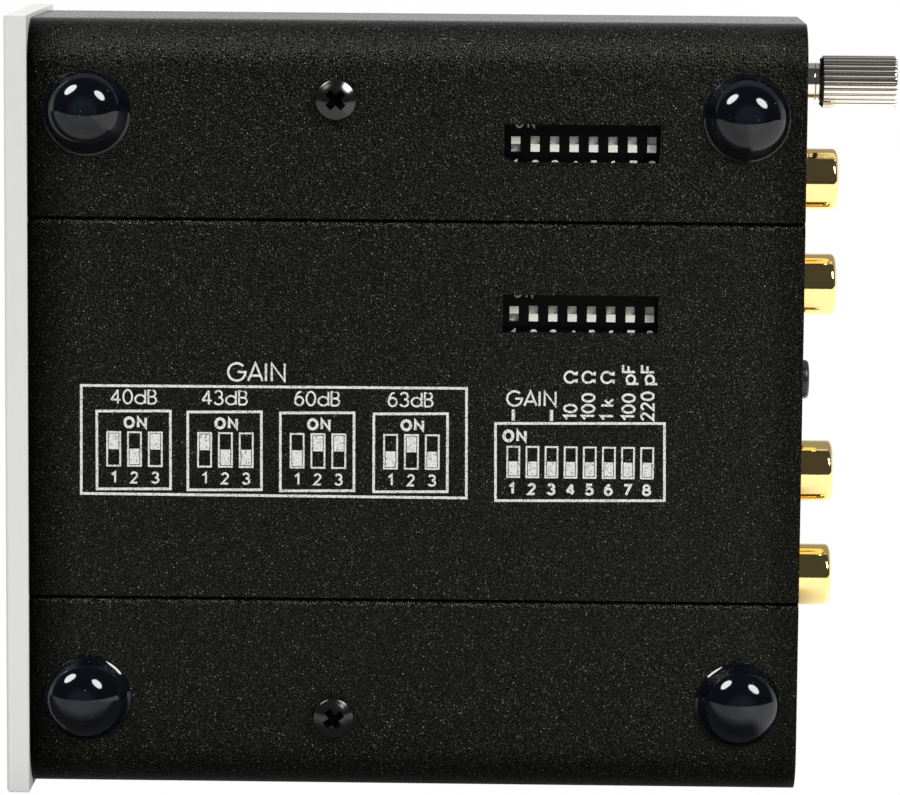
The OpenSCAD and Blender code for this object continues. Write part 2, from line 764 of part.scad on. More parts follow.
module ground_post() {
  stud_root_y = rear_inner_y - hex_nut_t - stud_tail;
  stud_tip_y = knob_y + knob_l - knob_end_t - cut;
  color(nickel) {
    rod_y(ground_x, jack_z, stud_root_y, stud_tip_y, stud_d);
    rod_y(ground_x, jack_z, rear_face_y, washer_y, collar_d);
  }
}

module ground_hex_nut() {
  color(nickel) difference() {
    translate([ground_x, rear_inner_y - hex_nut_t, jack_z]) rotate([-90, 0, 0])
      cylinder(r = hex_nut_r, h = hex_nut_t, $fn = 6);
    rod_y(ground_x, jack_z, rear_inner_y - hex_nut_t - cut, rear_inner_y + cut, stud_d);
  }
}

module ground_washer() {
  color(nickel) difference() {
    rod_y(ground_x, jack_z, washer_y, knob_y, collar_d);
    rod_y(ground_x, jack_z, washer_y - cut, knob_y + cut, stud_d + 2 * stud_gap);
  }
}

module ground_thumb_nut() {
  step = 360 / knurl_count;
  ridge_share = 0.28;
  ridge_r = knob_d / 2;
  groove_r = ridge_r - knurl_depth;
  color(nickel) translate([ground_x, knob_y, jack_z]) rotate([-90, 0, 0]) difference() {
    intersection() {
      linear_extrude(knob_l) polygon([
        for (i = [0 : knurl_count - 1])
          for (p = [[-ridge_share, ridge_r], [ridge_share, ridge_r], [0.5, groove_r]])
            [p[1] * cos(step * (i + p[0])), p[1] * sin(step * (i + p[0]))]
      ]);
      rotate_extrude() polygon([
        [0, 0], [ridge_r - knob_chamfer, 0], [ridge_r, knob_chamfer],
        [ridge_r, knob_l - knob_chamfer], [ridge_r - knob_chamfer, knob_l], [0, knob_l]
      ]);
    }
    translate([0, 0, -cut]) cylinder(d = stud_d + 2 * stud_gap, h = knob_l - knob_end_t + cut);
  }
}

// Power light and board components

module power_light() {
  tail_y = panel_front_y + led_l;
  bend_y = board_front_y + led_wire_inset;
  flange_y = front_wall_y + lap_gap;
  flange_t = 1;
  flange_d = led_d + 2 * led_gap + 2 * led_flange_step;
  color(white_plastic) {
    rod_y(0, cover_mid_z, panel_front_y + led_d / 2, tail_y, led_d);
    translate([0, panel_front_y + led_d / 2, cover_mid_z]) sphere(d = led_d);
    rod_y(0, cover_mid_z, flange_y, flange_y + flange_t, flange_d);
  }
  color(zinc) for (side = [-1, 1]) translate([side * led_wire_pitch / 2, 0, 0]) {
    rod_y(0, cover_mid_z, tail_y - cut, bend_y + led_wire_d / 2, led_wire_d);
    rod_z(0, bend_y, board_top_z, cover_mid_z, led_wire_d);
  }
}

// Four rows between the board's front edge and the push switch, numbered from the front
first_row_y = board_front_y + first_row_inset;
last_row_y = switch_y - switch_d - last_row_gap;
function row_y(n) = first_row_y + (n - 1) / 3 * (last_row_y - first_row_y);

module electrolytic_capacitors() {
  color(black_plastic) for (i = [-1.5 : 1.5]) {
    capacitor_can(i * cap_pitch, row_y(1), cap_d, cap_h);
    capacitor_can(i * cap_pitch, row_y(4), small_cap_d, small_cap_h);
  }
}

// Can with the rolled groove near its foot
module capacitor_can(x, y, d, h) {
  groove_d = d - 0.8;
  groove_z = 2;
  groove_h = 0.8;
  rod_z(x, y, board_top_z, board_top_z + groove_z, d);
  rod_z(x, y, board_top_z + groove_z - cut / 2, board_top_z + groove_z + groove_h + cut / 2, groove_d);
  rod_z(x, y, board_top_z + groove_z + groove_h, board_top_z + h, d);
}

module film_capacitors() {
  color(red_plastic) for (i = [-2.5 : 2.5])
    box_at(i * film_cap_pitch, row_y(2), board_top_z, board_top_z + film_cap_h, film_cap_l, film_cap_w);
}

module op_amps() {
  pin_w = 0.5;
  pin_t = 0.3;
  shoulder_z = board_top_z + op_amp_lift + op_amp_h / 2;
  for (i = [-1, 0, 1]) translate([i * op_amp_pitch, row_y(3), 0]) {
    color(black_plastic)
      box_at(0, 0, board_top_z + op_amp_lift, board_top_z + op_amp_lift + op_amp_h, op_amp_l, op_amp_w);
    color(zinc) for (p = [-1.5 : 1.5], side = [-1, 1])
      box_at(p * leg_pitch, side * (op_amp_w + pin_t) / 2, board_top_z, shoulder_z, pin_w, pin_t);
  }
}

module voltage_regulators() {
  leg_w = 0.8;
  tab_t = 1.2;
  body_z = board_top_z + regulator_leg_h;
  tab_z = body_z + regulator_h;
  front_y = board_front_y + regulator_front_inset;
  for (i = [0, 1]) translate([-board_edge_x + regulator_side_inset, front_y + i * regulator_pitch, 0]) {
    color(black_plastic) box_at(0, 0, body_z, tab_z, regulator_w, regulator_t);
    color(zinc) {
      box_at(0, (regulator_t - tab_t) / 2, tab_z, tab_z + regulator_tab_h, regulator_w, tab_t);
      for (p = [-1 : 1]) box_at(p * leg_pitch, 0, board_top_z, body_z, leg_w, leg_w);
    }
  }
}

front_panel();
base_tray();
rear_panel();
top_cover();
place_foot(-1, -1);  // foot_front_left
place_foot(1, -1);  // foot_front_right
place_foot(-1, 1);  // foot_rear_left
place_foot(1, 1);  // foot_rear_right
cover_screws();
panel_screws();
board_standoffs();
board_screws();
socket_screws();
circuit_board();
dip_switch(inner_dip_x);  // inner_dip_switch
dip_switch(outer_dip_x);  // outer_dip_switch
for (i = [1 : dip_count]) {
  slider(inner_dip_x, i, i == 1);
  slider(outer_dip_x, i, i == 1);
}
socket_block(input_x);  // input_socket_block
socket_block(output_x);  // output_socket_block
jack_shell(input_right_x);  // input_right_shell
jack_shell(input_left_x);  // input_left_shell
jack_shell(output_right_x);  // output_right_shell
jack_shell(output_left_x);  // output_left_shell
jack_insulator(input_right_x, red_plastic);  // input_right_insulator
jack_insulator(input_left_x, white_plastic);  // input_left_insulator
jack_insulator(output_right_x, red_plastic);  // output_right_insulator
jack_insulator(output_left_x, white_plastic);  // output_left_insulator
contacts(input_x);  // input_contacts
contacts(output_x);  // output_contacts
power_inlet();
power_inlet_pin();
filter_switch();
filter_button();
ground_post();
ground_hex_nut();
ground_washer();
ground_thumb_nut();
power_light();
electrolytic_capacitors();
film_capacitors();
op_amps();
voltage_regulators();
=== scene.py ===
import json
import math

import bmesh
import bpy
from mathutils import Matrix, Vector


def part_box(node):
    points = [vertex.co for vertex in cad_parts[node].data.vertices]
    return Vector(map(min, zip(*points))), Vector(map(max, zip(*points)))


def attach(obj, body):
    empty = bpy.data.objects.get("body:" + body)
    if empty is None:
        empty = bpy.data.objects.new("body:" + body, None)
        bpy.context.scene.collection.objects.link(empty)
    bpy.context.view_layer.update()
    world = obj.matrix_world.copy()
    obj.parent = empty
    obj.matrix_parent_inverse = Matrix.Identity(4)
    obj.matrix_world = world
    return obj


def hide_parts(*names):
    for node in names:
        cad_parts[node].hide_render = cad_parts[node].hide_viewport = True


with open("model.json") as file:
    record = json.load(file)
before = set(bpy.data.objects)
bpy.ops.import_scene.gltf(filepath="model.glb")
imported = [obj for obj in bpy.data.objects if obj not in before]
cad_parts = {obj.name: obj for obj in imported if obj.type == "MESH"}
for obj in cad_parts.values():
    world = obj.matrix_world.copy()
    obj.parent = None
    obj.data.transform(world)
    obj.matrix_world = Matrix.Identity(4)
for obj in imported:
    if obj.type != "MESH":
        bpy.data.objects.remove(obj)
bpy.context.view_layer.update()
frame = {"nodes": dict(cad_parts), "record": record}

# Phono preamp seen from below. Its front is at -Y, its rear at +Y, and it stands on its feet at Z = 0.
# The studio is in metres. Pieces are drawn in millimetres, and finish_mesh turns them into metres.
MM = 0.001
CHASSIS = "chassis"

# Where the CAD model's pieces are, in millimetres
COVER_LOW, COVER_HIGH = (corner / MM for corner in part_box("top_cover"))
UNDERSIDE_Z = COVER_LOW.z
REAR_FACE_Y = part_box("rear_panel")[1].y / MM
SLIDERS = range(1, 9)
SOCKETS = [f"{pair}_{side}" for pair in ("input", "output") for side in ("right", "left")]
FEET = [f"foot_{end}_{side}" for end in ("front", "rear") for side in ("left", "right")]


# Camera, lamps and surroundings

# Camera fitted to the photograph: its place, which way its view and its right side point, and its lens
CAMERA_PLACE = Vector((77.715, 10.003, -573.101)) * MM
CAMERA_AIM = Vector((-0.13023, -0.01752, 0.99133))
CAMERA_RIGHT = Vector((0.00783, 0.99979, 0.01870))
CAMERA_LENS = 177.57
SENSOR_WIDTH = 36
CLIP_RANGE = (0.01, 100)

# Oval soft boxes: direction from the object, width, height and distance in metres, radiance
SOFT_BOXES = (
    ((0.725, -0.577, -0.362), 0.80, 0.45, 1.5, 22.0),
    ((0.608, 0.543, -0.565), 0.80, 0.45, 1.5, 22.0),
    ((-0.35, -0.45, 0.82), 0.80, 0.80, 1.2, 6.0),
)

# Radiance of what glossy surfaces mirror, from its darker to its brighter end
CARD_LIGHT = (0.85, 1.38)
BACKDROP_LIGHT = (0.35, 1.10)
ROOM_LIGHT = (0.03, 0.06)
# Radiance that matt surfaces get from all around
AMBIENT_LIGHT = 0.34

# Where the room and the backdrop change, as components of a direction that points away from the object
HORIZON_Z = (-0.02, 0.10)
ROOM_FADE_X = (-0.25, 0.0)
BACKDROP_FADE_X = (0.6, 0.0)

# White card beside the object, in metres: its place, its ends, and where it gets brighter
CARD_X = -0.053
CARD_ENDS_Y = (-1.2, 1.2)
CARD_ENDS_Z = (-0.34, 0.60)
CARD_BRIGHTER_Y = (0.015, 0.070)
CARD_BRIGHTER_Z = (-0.025, 0.035)
# The part of the card that lies in the object's own shade: its radiance and where it starts
CARD_SHADE = 0.12
CARD_SHADE_Y = (0.056, 0.044)
CARD_SHADE_Z = (-0.024, -0.003)

FLOOR_REACH = 3.0
FLOOR_WHITE = 0.82


def add_camera():
    data = bpy.data.cameras.new("camera")
    data.sensor_width = SENSOR_WIDTH
    data.lens = CAMERA_LENS
    data.clip_start, data.clip_end = CLIP_RANGE
    camera = bpy.data.objects.new("camera", data)
    back = -CAMERA_AIM.normalized()
    right = (CAMERA_RIGHT - back * CAMERA_RIGHT.dot(back)).normalized()
    axes = Matrix((right, back.cross(right), back)).transposed()
    camera.matrix_world = Matrix.Translation(CAMERA_PLACE) @ axes.to_4x4()
    bpy.context.scene.collection.objects.link(camera)
    bpy.context.scene.camera = camera


def add_soft_boxes():
    for number, (direction, width, height, distance, radiance) in enumerate(SOFT_BOXES, 1):
        data = bpy.data.lights.new(f"soft_box_{number}", "AREA")
        data.shape = "ELLIPSE"
        data.size, data.size_y = width, height
        area = math.pi / 4 * width * height
        data.energy = radiance * math.pi * area
        lamp = bpy.data.objects.new(data.name, data)
        back = Vector(direction).normalized()
        level = back.cross((0, 0, 1)).normalized()
        axes = Matrix((level, back.cross(level), back)).transposed()
        lamp.matrix_world = Matrix.Translation(back * distance) @ axes.to_4x4()
        bpy.context.scene.collection.objects.link(lamp)


class Nodes:
    """Short calls for building a node tree."""

    def __init__(self, tree):
        self.tree = tree
        tree.nodes.clear()

    def feed(self, socket, value):
        """Sets an input to a value, or links it to an output."""
        if isinstance(value, bpy.types.NodeSocket):
            self.tree.links.new(value, socket)
        else:
            socket.default_value = value

    def add(self, kind, inputs=None, **settings):
        """A new node, with values or links for its inputs."""
        node = self.tree.nodes.new(kind)
        for name, value in settings.items():
            setattr(node, name, value)
        for name, value in (inputs or {}).items():
            self.feed(node.inputs[name], value)
        return node

    def math(self, operation, *values, clamp=False):
        inputs = dict(enumerate(values))
        return self.add("ShaderNodeMath", inputs, operation=operation, use_clamp=clamp).outputs[0]

    def step(self, value, start, end):
        """0 before start, 1 past end and smooth between them. Start may be the greater of the two."""
        inputs = {"Value": value, "From Min": start, "From Max": end}
        node = self.add("ShaderNodeMapRange", inputs, interpolation_type="SMOOTHSTEP")
        return node.outputs["Result"]

    def mix(self, share, a, b):
        """The colour between a and b."""
        node = self.add("ShaderNodeMix", data_type="RGBA")
        sockets = {socket.name: socket for socket in node.inputs if socket.enabled}
        for name, value in (("Factor", share), ("A", a), ("B", b)):
            self.feed(sockets[name], value)
        return next(socket for socket in node.outputs if socket.enabled)


def grey(value):
    return (value, value, value, 1)


def build_world():
    """White behind the object. What its glossy surfaces mirror is a studio: a pale backdrop on the +Z side,
    darker towards +X, and a dark room on the -Z side."""
    world = bpy.data.worlds.new("studio")
    world.use_nodes = True
    bpy.context.scene.world = world
    n = Nodes(world.node_tree)
    direction = n.add("ShaderNodeTexCoord").outputs["Generated"]
    axes = n.add("ShaderNodeSeparateXYZ", {"Vector": direction})
    x, z = axes.outputs["X"], axes.outputs["Z"]
    room = n.mix(n.step(x, *ROOM_FADE_X), *map(grey, ROOM_LIGHT))
    backdrop = n.mix(n.step(x, *BACKDROP_FADE_X), *map(grey, BACKDROP_LIGHT))
    studio = n.mix(n.step(z, *HORIZON_Z), room, backdrop)
    path = n.add("ShaderNodeLightPath")
    seen = n.math("MAXIMUM", path.outputs["Is Camera Ray"], path.outputs["Is Transmission Ray"])
    colour = n.mix(path.outputs["Is Glossy Ray"], grey(AMBIENT_LIGHT), studio)
    colour = n.mix(seen, colour, grey(1.0))
    shader = n.add("ShaderNodeBackground", {"Color": colour})
    n.add("ShaderNodeOutputWorld", {"Surface": shader.outputs[0]})


def make_sheet(name, material_name, corners):
    """Flat sheet for the studio. Gives the sheet and the nodes of its material."""
    mesh = bpy.data.meshes.new(name)
    mesh.from_pydata(corners, [], [(0, 1, 2, 3)])
    sheet = bpy.data.objects.new(name, mesh)
    bpy.context.scene.collection.objects.link(sheet)
    material = bpy.data.materials.new(material_name)
    material.use_nodes = True
    mesh.materials.append(material)
    return sheet, Nodes(material.node_tree)


def add_card():
    """White card close to the object's -X side, shaded where the two lie side by side. It only shows in
    glossy surfaces."""
    (y0, y1), (z0, z1) = CARD_ENDS_Y, CARD_ENDS_Z
    corners = [(CARD_X, y0, z0), (CARD_X, y1, z0), (CARD_X, y1, z1), (CARD_X, y0, z1)]
    card, n = make_sheet("card", "white_card", corners)
    place = n.add("ShaderNodeNewGeometry").outputs["Position"]
    axes = n.add("ShaderNodeSeparateXYZ", {"Vector": place})
    y, z = axes.outputs["Y"], axes.outputs["Z"]
    brighter = n.math("MAXIMUM", n.step(z, *CARD_BRIGHTER_Z), n.step(y, *CARD_BRIGHTER_Y))
    lit = n.mix(brighter, *map(grey, CARD_LIGHT))
    shaded = n.math("MULTIPLY", n.step(z, *CARD_SHADE_Z), n.step(y, *CARD_SHADE_Y))
    glow = n.add("ShaderNodeEmission", {"Color": n.mix(shaded, lit, grey(CARD_SHADE))})
    n.add("ShaderNodeOutputMaterial", {"Surface": glow.outputs[0]})
    card.visible_camera = False
    card.visible_diffuse = False
    card.visible_shadow = False
    card.visible_transmission = False


def add_floor():
    """Pale paper under the feet. It is clear from below, and to light that has come through it before."""
    r = FLOOR_REACH
    floor, n = make_sheet("floor", "floor_paper", [(-r, -r, 0), (r, -r, 0), (r, r, 0), (-r, r, 0)])
    paper = n.add("ShaderNodeBsdfDiffuse", {"Color": grey(FLOOR_WHITE)})
    clear = n.add("ShaderNodeBsdfTransparent")
    below = n.add("ShaderNodeNewGeometry").outputs["Backfacing"]
    passed = n.add("ShaderNodeLightPath").outputs["Transparent Depth"]
    share = n.math("MAXIMUM", below, passed, clamp=True)
    both = n.add("ShaderNodeMixShader", {0: share, 1: paper.outputs[0], 2: clear.outputs[0]})
    n.add("ShaderNodeOutputMaterial", {"Surface": both.outputs[0]})


# Materials

class Finish(Nodes):
    """A Principled material with patterns that keep their place on the object, sized in millimetres."""

    def __init__(self, name, base, roughness, **constants):
        self.material = bpy.data.materials.new(name)
        self.material.use_nodes = True
        super().__init__(self.material.node_tree)
        self.place = self.add("ShaderNodeTexCoord").outputs["Object"]
        self.shader = self.add("ShaderNodeBsdfPrincipled")
        self.set("Base Color", (*base, 1))
        self.set("Roughness", roughness)
        for setting, value in constants.items():
            self.set(setting.replace("_", " ").title().replace("Ior", "IOR"), value)
        self.add("ShaderNodeOutputMaterial", {"Surface": self.shader.outputs[0]})

    def set(self, name, value):
        self.feed(self.shader.inputs[name], value)

    def along(self, axis):
        """Distance from the origin along an axis, in metres."""
        return self.add("ShaderNodeSeparateXYZ", {"Vector": self.place}).outputs[axis]

    def noise(self, grain, detail=2.0, stretch=(1, 1, 1)):
        """Noise from 0 to 1 with grains of this size."""
        place = self.add("ShaderNodeMapping", {"Vector": self.place, "Scale": stretch}).outputs[0]
        inputs = {"Vector": place, "Scale": 1 / (grain * MM), "Detail": detail}
        return self.add("ShaderNodeTexNoise", inputs).outputs[0]

    def cells(self, size, output="Distance"):
        """Cells of this size: how far it is to a cell's middle, or each cell's own colour."""
        inputs = {"Vector": self.place, "Scale": 1 / (size * MM)}
        return self.add("ShaderNodeTexVoronoi", inputs).outputs[output]

    def span(self, value, low, high, at_low, at_high):
        """Goes evenly from at_low to at_high while the value goes from low to high."""
        inputs = {
            "Value": value,
            "From Min": low,
            "From Max": high,
            "To Min": at_low,
            "To Max": at_high,
        }
        return self.add("ShaderNodeMapRange", inputs).outputs["Result"]

    def bump(self, height, depth):
        inputs = {"Height": height, "Distance": depth * MM}
        self.set("Normal", self.add("ShaderNodeBump", inputs).outputs[0])

    def vary_roughness(self, value, low, high):
        self.set("Roughness", self.span(value, 0, 1, low, high))


def powder_coat():
    """Black coat of fine rounded grains. Pale specks and flecks in its colour are painted glints, and
    painted shade darkens it beside the panel and at the rear.
    """
    grain, grain_depth = 0.27, 0.105
    speck_size, speck_from, speck_full, speck_sharpness = 0.18, 0.25, 0.80, 4.0
    fleck_size, fleck_sharpness = 0.34, 5.0
    # Distances from the middle of a fleck's cell, as shares of the cell's size
    fleck_ends, fleck_full = 0.34, 0.12
    # Painted shade beside the panel and at the rear: how dark it gets, and where it fades, in millimetres
    panel_shade, panel_shade_width = 0.10, 6.2
    rear_shade, rear_shade_starts, rear_shade_ends = 0.65, 5, 2
    f = Finish("powder_coat", (0.001, 0.001, 0.0008), 0.2, specular_ior_level=0.14)
    f.bump(f.math("POWER", f.cells(grain), 2.0), grain_depth)

    # The painted shade dims the coat's reflection, and its painted glints too
    y = f.along("Y")
    panel_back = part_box("front_panel")[1].y
    panel_painted_shade = f.span(y, panel_back, panel_back + panel_shade_width * MM, panel_shade, 1.0)
    rear_y = COVER_HIGH.y
    rear_from, rear_to = (rear_y - rear_shade_starts) * MM, (rear_y - rear_shade_ends) * MM
    rear_painted_shade = f.span(y, rear_from, rear_to, 1.0, rear_shade)
    shade = f.math("MULTIPLY", panel_painted_shade, rear_painted_shade)
    f.set("Specular Tint", f.mix(shade, grey(0), (1.0, 1.0, 0.82, 1)))

    # Pale specks in the colour stand in for the glints of the grains: painted glints
    speck_glint = f.span(f.noise(speck_size, 1.0), speck_from, speck_full, 0, 1)
    speck_glint = f.math("POWER", speck_glint, speck_sharpness)
    speck_glint = f.math("MULTIPLY", speck_glint, shade)
    # A cell's own colour is high in only a few, and those hold a bright fleck: a painted glint
    lottery = f.math("POWER", f.cells(fleck_size, "Color"), fleck_sharpness)
    fleck_glint = f.math("MULTIPLY", f.step(f.cells(fleck_size), fleck_ends, fleck_full), lottery)
    fleck_glint = f.math("MULTIPLY", fleck_glint, shade)
    dull = f.mix(speck_glint, grey(0), (0.06, 0.06, 0.05, 1))
    f.set("Base Color", f.mix(fleck_glint, dull, grey(0.28)))
    return f.material


def satin_aluminium():
    f = Finish("satin_aluminium", (0.73, 0.73, 0.72), 0.42, metallic=0.25)
    f.bump(f.noise(0.12, 3.0), 0.004)
    f.vary_roughness(f.noise(1.5), 0.36, 0.46)
    f.set("Base Color", f.mix(f.noise(4.0), (0.72, 0.72, 0.706, 1), (0.74, 0.74, 0.726, 1)))
    return f.material


def foot_rubber():
    """Glossy and nearly black, with a navy tint in the top of the dome and a few specks of dust."""
    black, navy = (0.0015, 0.002, 0.004), (0.005, 0.0075, 0.011)
    navy_below, navy_full = 0.45, 0.15
    f = Finish("foot_polyurethane", black, 0.06, specular_ior_level=0.43)
    tint = f.mix(f.step(f.along("Z"), navy_below * MM, navy_full * MM), (*black, 1), (*navy, 1))
    dust = f.step(f.cells(1.3), 0.06, 0.03)
    f.set("Base Color", f.mix(dust, tint, grey(0.20)))
    f.vary_roughness(f.noise(1.2), 0.04, 0.09)
    f.bump(f.noise(2.5, 1.0), 0.004)
    return f.material


def blind_recess():
    """Painted shade for the bottom of a driver's recess, where hardly any light gets in: a near-black
    finish that hardly shines.
    """
    f = Finish("blind_recess", (0.001, 0.001, 0.001), 0.5, specular_ior_level=0.05)
    f.vary_roughness(f.noise(0.2), 0.4, 0.6)
    f.bump(f.noise(0.1), 0.002)
    return f.material


def black_screw():
    f = Finish("black_zinc", (0.004, 0.004, 0.0035), 0.17, specular_ior_level=0.66)
    f.bump(f.noise(0.25), 0.0015)
    f.vary_roughness(f.noise(0.6), 0.14, 0.19)
    return f.material


def plated(name, base, roughness):
    """Bright plated metal, with the faint ripple that plating leaves."""
    f = Finish(name, base, roughness, metallic=1.0)
    f.bump(f.noise(0.3), 0.0015)
    f.vary_roughness(f.noise(0.9), roughness * 0.7, roughness * 1.4)
    return f.material


def moulded(name, base, roughness, shade=0.85, **constants):
    """Moulded plastic with a fine spark-eroded grain."""
    f = Finish(name, base, roughness, **constants)
    f.bump(f.noise(0.08), 0.003)
    f.vary_roughness(f.noise(0.7), roughness * 0.85, roughness * 1.15)
    darker = [c * shade for c in base]
    f.set("Base Color", f.mix(f.noise(1.5), (*darker, 1), (*base, 1)))
    return f.material


def screen_ink():
    """White ink, broken up where the grains of the paint under it stand through."""
    f = Finish("screen_ink", (0.8, 0.8, 0.79), 0.6)
    grain = f.noise(0.17, 1.0)
    worn = f.step(grain, 0.50, 0.72)
    f.set("Base Color", f.mix(worn, (0.68, 0.68, 0.67, 1), grey(0.15)))
    f.bump(grain, 0.04)
    return f.material


def laminate():
    f = Finish("board_laminate", (0.02, 0.09, 0.04), 0.35)
    f.bump(f.noise(0.4, stretch=(1, 0.2, 1)), 0.006)
    f.set("Base Color", f.mix(f.noise(3.0), (0.015, 0.075, 0.03, 1), (0.025, 0.10, 0.045, 1)))
    return f.material


def light_lens():
    f = Finish("light_lens", (0.85, 0.87, 0.9), 0.25, subsurface_weight=0.2)
    f.vary_roughness(f.noise(0.5), 0.2, 0.35)
    f.bump(f.noise(0.4), 0.002)
    return f.material


# Shapes

def arc(centre, radius, start, end, steps=8):
    """Points of an arc, its angles in degrees."""
    angles = (math.radians(start + (end - start) * i / steps) for i in range(steps + 1))
    return [(centre[0] + radius * math.cos(a), centre[1] + radius * math.sin(a)) for a in angles]


def finish_mesh(bm, name, smooth_angle=32):
    """Mesh from bm, which is in millimetres, smooth but for its sharp edges."""
    bmesh.ops.recalc_face_normals(bm, faces=bm.faces)
    bmesh.ops.scale(bm, vec=(MM, MM, MM), verts=bm.verts)
    mesh = bpy.data.meshes.new(name)
    bm.to_mesh(mesh)
    bm.free()
    # A copy of a CAD node brings its old normals with it
    if "custom_normal" in mesh.attributes:
        mesh.attributes.remove(mesh.attributes["custom_normal"])
    mesh.shade_smooth()
    mesh.set_sharp_from_angle(angle=math.radians(smooth_angle))
    return mesh


def add_piece(name, mesh, material, body=CHASSIS, stands_for=()):
    """A piece of the object that rides on a body, with the CAD nodes that it stands for."""
    mesh.materials.clear()
    mesh.materials.append(material)
    piece = bpy.data.objects.new(name, mesh)
    bpy.context.scene.collection.objects.link(piece)
    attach(piece, body)
    if stands_for:
        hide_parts(*stands_for)
    return piece


def node_copy(node):
    """A CAD node's shape in millimetres, with its corners joined and its flat faces whole."""
    bm = bmesh.new()
    bm.from_mesh(frame["nodes"][node].data)
    bmesh.ops.scale(bm, vec=(1 / MM, 1 / MM, 1 / MM), verts=bm.verts)
    bmesh.ops.remove_doubles(bm, verts=bm.verts, dist=0.001)
    bmesh.ops.dissolve_limit(bm, angle_limit=math.radians(0.5), verts=bm.verts, edges=bm.edges)
    return bm


def body_of(node):
    """The body that a CAD node moves with."""
    bodies = frame["record"]["behaviour"]["bodies"]
    return next(body for body, members in bodies.items() if node in members)


def soften(piece, radius):
    """Rounds the sharp edges of a piece, with the radius in millimetres."""
    bevel = piece.modifiers.new("soft_edges", "BEVEL")
    bevel.width = radius * MM
    bevel.segments = 3
    bevel.limit_method = "ANGLE"
    bevel.angle_limit = math.radians(40)
    bevel.harden_normals = True


def softened_node(node, material, radius):
    """A CAD node's shape with round edges, in its node's place."""
    mesh = finish_mesh(node_copy(node), node)
    piece = add_piece(f"{node}_finished", mesh, material, body_of(node), [node])
    soften(piece, radius)


def lathe(profile, place, axis, turns=96, closed=False):
    """Turns a profile of (radius, distance) points about an axis through place, all in millimetres.
    In a closed one the last point joins the first."""
    bm = bmesh.new()
    frame_of_axis = Vector(axis).to_track_quat("Z", "Y").to_matrix()
    rings = []
    for radius, distance in profile:
        count = 1 if radius < 1e-6 else turns
        ring = []
        for i in range(count):
            angle = 2 * math.pi * i / turns
            local = Vector((radius * math.cos(angle), radius * math.sin(angle), distance))
            ring.append(bm.verts.new(Vector(place) + frame_of_axis @ local))
        rings.append(ring)
    pairs = list(zip(rings, rings[1:]))
    if closed:
        pairs.append((rings[-1], rings[0]))
    for low, high in pairs:
        for i in range(turns):
            j = i + 1
            corners = [low[i % len(low)], low[j % len(low)]]
            corners += [high[j % len(high)], high[i % len(high)]]
            bm.faces.new(list(dict.fromkeys(corners)))
    return bm


def middle(node):
    """The middle of a CAD node, in millimetres."""
    low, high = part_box(node)
    return (low + high) / 2 / MM


# Pieces

SEAM_ROUNDING = 0.75
# A seam's edge is longer than this, and lies this far from the middle of the underside
SEAM_LENGTH_OVER = 20
SEAM_RANGE_X = (20, 40)


def round_seam_edges(bm):
    """Rounds off a sheet's corners along the seams, where they face +X."""
    near = 0.01
    sideways_over = 0.9
    seam = []
    for edge in bm.edges:
        a, b = (vert.co for vert in edge.verts)
        level = abs(a.z - UNDERSIDE_Z) < near and abs(b.z - UNDERSIDE_Z) < near
        along_y = abs(a.x - b.x) < near and abs(a.y - b.y) > SEAM_LENGTH_OVER
        sideways = any(face.normal.x > sideways_over for face in edge.link_faces)
        if level and along_y and sideways and SEAM_RANGE_X[0] < abs(a.x) < SEAM_RANGE_X[1]:
            seam.append(edge)
    bmesh.ops.bevel(bm, geom=seam, offset=SEAM_ROUNDING, segments=6, profile=0.5, affect="EDGES")


def make_casing(paint):
    """Cover, tray and rear panel. Along the seams the sheets' edges roll over where they face +X."""
    for node in ("top_cover", "base_tray", "rear_panel"):
        bm = node_copy(node)
        bm.normal_update()
        round_seam_edges(bm)
        mesh = finish_mesh(bm, node)
        piece = add_piece(f"{node}_finished", mesh, paint, stands_for=[node])
        soften(piece, radius=0.2)
        even = piece.modifiers.new("flat_faces", "WEIGHTED_NORMAL")
        even.keep_sharp = True


# How far the top of each dome leans from the middle of its base, in X and Y
FOOT_LEAN = {
    "foot_front_left": (0.0, -0.65),
    "foot_front_right": (0.42, -0.20),
    "foot_rear_left": (0.22, 0.45),
    "foot_rear_right": (0.10, 0.15),
}


def make_foot(node, material):
    """Bumper whose dome leans a little to one side of its base, as a hand-placed soft one does."""
    low, high = (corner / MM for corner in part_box(node))
    narrower = 0.2
    rim = (high.x - low.x) / 2 - narrower
    height = high.z - low.z
    skirt_h = 0.12
    shoulder_in, shoulder_h = 0.05, 0.20
    dome_in = 0.15
    dome_r = rim - dome_in
    ball = (dome_r ** 2 + height ** 2) / (2 * height)
    start = math.degrees(math.asin((ball - height) / ball))
    profile = [(0, 0), (rim, 0), (rim, skirt_h), (rim - shoulder_in, shoulder_h)]
    # The first two points of the dome lie below the shoulder and are left out
    profile += arc((0, height - ball), ball, start, 90, steps=48)[2:-1] + [(0, height)]
    place = Vector(((low.x + high.x) / 2, (low.y + high.y) / 2, high.z))
    bm = lathe(profile, place, (0, 0, -1))
    lean = Vector(FOOT_LEAN[node])
    # Above this level the dome's slope is under 45 degrees, and it leans as a whole
    level = height - ball * (1 - math.sqrt(0.5))
    for vert in bm.verts:
        share = min(1.0, max(0.0, (place.z - vert.co.z) / level))
        vert.co.xy += lean * share * (2 - share)
    mesh = finish_mesh(bm, node, smooth_angle=60)
    add_piece(f"{node}_bumper", mesh, material, stands_for=[node])


